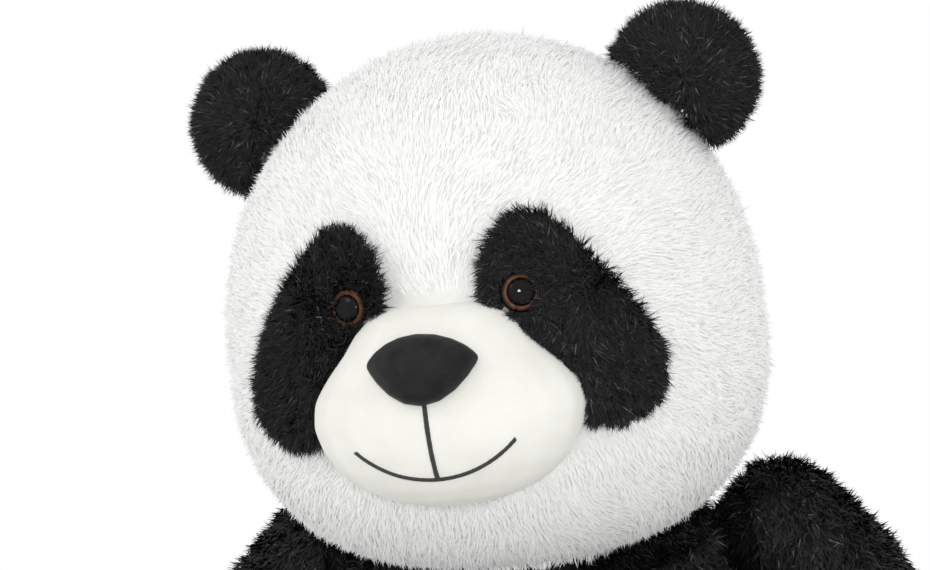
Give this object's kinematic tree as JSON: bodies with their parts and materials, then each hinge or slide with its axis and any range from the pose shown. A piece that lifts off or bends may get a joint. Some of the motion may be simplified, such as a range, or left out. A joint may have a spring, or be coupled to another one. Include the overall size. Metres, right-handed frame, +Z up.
{
  "type": "plush panda",
  "caption": "Large seated plush panda with a round white head, black ears and eye patches, a smooth muzzle with a padded nose and stitched smile, brown safety eyes and soft jointed limbs.",
  "frame": {"origin": "centre of the flat seat, on the surface the panda sits on", "axes": "+Z up through the head, -Y the way the panda faces, +X its left side"},
  "size_m": [0.6442, 0.5761, 0.838],
  "materials": {
    "white_plush": "long pile plush",
    "black_plush": "long pile plush",
    "muzzle_fabric": "short brushed pile",
    "nose_fabric": "short satin pile",
    "thread": "satin embroidery thread",
    "fibre_fill": "loose polyester fibre",
    "eye_black": "gloss",
    "eye_brown": "gloss",
    "eye_clear": "clear gloss",
    "washer_plastic": "matt"
  },
  "bodies": {
    "torso": {"chest_yoke": "black_plush", "belly_skin": "white_plush", "seat_panel": "white_plush", "torso_stuffing": "fibre_fill"},
    "neck_seam": {"neck_seam": "black_plush"},
    "neck_fill": {"neck_fill": "fibre_fill"},
    "head": {"head_skin": "white_plush", "head_stuffing": "fibre_fill", "muzzle_skin": "muzzle_fabric", "muzzle_stuffing": "fibre_fill", "nose_cover": "nose_fabric", "nose_padding": "fibre_fill", "philtrum_stitch": "thread", "smile_stitch": "thread", "left_eye_patch": "black_plush", "left_eye_back": "eye_black", "left_eye_iris": "eye_brown", "left_eye_lens": "eye_clear", "left_eye_washer": "washer_plastic", "right_eye_patch": "black_plush", "right_eye_back": "eye_black", "right_eye_iris": "eye_brown", "right_eye_lens": "eye_clear", "right_eye_washer": "washer_plastic"},
    "left_ear": {"left_ear_front": "black_plush", "left_ear_back": "black_plush", "left_ear_stuffing": "fibre_fill"},
    "left_shoulder_gusset": {"left_shoulder_gusset": "black_plush"},
    "left_arm": {"left_arm_skin": "black_plush", "left_arm_stuffing": "fibre_fill"},
    "left_hip_gusset": {"left_hip_gusset": "black_plush"},
    "left_leg": {"left_leg_skin": "black_plush", "left_foot_sole": "black_plush", "left_leg_stuffing": "fibre_fill"},
    "right_ear": {"right_ear_front": "black_plush", "right_ear_back": "black_plush", "right_ear_stuffing": "fibre_fill"},
    "right_shoulder_gusset": {"right_shoulder_gusset": "black_plush"},
    "right_arm": {"right_arm_skin": "black_plush", "right_arm_stuffing": "fibre_fill"},
    "right_hip_gusset": {"right_hip_gusset": "black_plush"},
    "right_leg": {"right_leg_skin": "black_plush", "right_foot_sole": "black_plush", "right_leg_stuffing": "fibre_fill"},
    "tail": {"tail_skin": "white_plush", "tail_stuffing": "fibre_fill"}
  },
  "joints": [
    {"name": "head_turn", "type": "hinge", "parent": "torso", "child": "neck_seam", "pos_m": [0, -0.045, 0.416], "axis": [0, 0, 1], "range_deg": [-20, 20], "stiffness_Nm_per_rad": 12},
    {"name": "head_nod", "type": "hinge", "parent": "neck_seam", "child": "neck_fill", "pos_m": [0, -0.045, 0.446], "axis": [1, 0, 0], "range_deg": [-6, 8], "stiffness_Nm_per_rad": 20, "springref_deg": -0.57},
    {"name": "head_tilt", "type": "hinge", "parent": "neck_fill", "child": "head", "pos_m": [0, -0.045, 0.446], "axis": [0, 1, 0], "range_deg": [-5, 5], "stiffness_Nm_per_rad": 20},
    {"name": "left_shoulder_swing", "type": "hinge", "parent": "torso", "child": "left_shoulder_gusset", "pos_m": [0.181, 0.056, 0.435], "axis": [-0.9903, 0, -0.1392], "range_deg": [-30, 55], "stiffness_Nm_per_rad": 3, "springref_deg": 2.86},
    {"name": "left_shoulder_spread", "type": "hinge", "parent": "left_shoulder_gusset", "child": "left_arm", "pos_m": [0.181, 0.056, 0.435], "axis": [-0.0683, -0.8714, 0.4859], "range_deg": [0, 30], "stiffness_Nm_per_rad": 3},
    {"name": "left_hip_spread", "type": "hinge", "parent": "torso", "child": "left_hip_gusset", "pos_m": [0.112, -0.118, 0.077], "axis": [0, 0, 1], "range_deg": [-8, 15], "stiffness_Nm_per_rad": 4},
    {"name": "left_hip_lift", "type": "hinge", "parent": "left_hip_gusset", "child": "left_leg", "pos_m": [0.112, -0.118, 0.077], "axis": [-0.9397, -0.342, 0], "range_deg": [0, 20], "stiffness_Nm_per_rad": 3},
    {"name": "left_ear_fold", "type": "hinge", "parent": "head", "child": "left_ear", "pos_m": [0.14898, -0.05, 0.77493], "axis": [0.6713, 0, -0.7412], "range_deg": [-10, 10], "stiffness_Nm_per_rad": 0.5},
    {"name": "right_shoulder_swing", "type": "hinge", "parent": "torso", "child": "right_shoulder_gusset", "pos_m": [-0.181, 0.056, 0.435], "axis": [-0.9903, 0, 0.1392], "range_deg": [-30, 55], "stiffness_Nm_per_rad": 3, "springref_deg": 2.86},
    {"name": "right_shoulder_spread", "type": "hinge", "parent": "right_shoulder_gusset", "child": "right_arm", "pos_m": [-0.181, 0.056, 0.435], "axis": [-0.0683, 0.8714, -0.4859], "range_deg": [0, 30], "stiffness_Nm_per_rad": 3},
    {"name": "right_hip_spread", "type": "hinge", "parent": "torso", "child": "right_hip_gusset", "pos_m": [-0.112, -0.118, 0.077], "axis": [0, 0, -1], "range_deg": [-8, 15], "stiffness_Nm_per_rad": 4},
    {"name": "right_hip_lift", "type": "hinge", "parent": "right_hip_gusset", "child": "right_leg", "pos_m": [-0.112, -0.118, 0.077], "axis": [-0.9397, 0.342, 0], "range_deg": [0, 20], "stiffness_Nm_per_rad": 3},
    {"name": "right_ear_fold", "type": "hinge", "parent": "head", "child": "right_ear", "pos_m": [-0.14898, -0.05, 0.77493], "axis": [0.6713, 0, 0.7412], "range_deg": [-10, 10], "stiffness_Nm_per_rad": 0.5},
    {"name": "tail_flex", "type": "hinge", "parent": "torso", "child": "tail", "pos_m": [0, 0.159, 0.092], "axis": [1, 0, 0], "range_deg": [-20, 20], "stiffness_Nm_per_rad": 0.4}
  ]
}
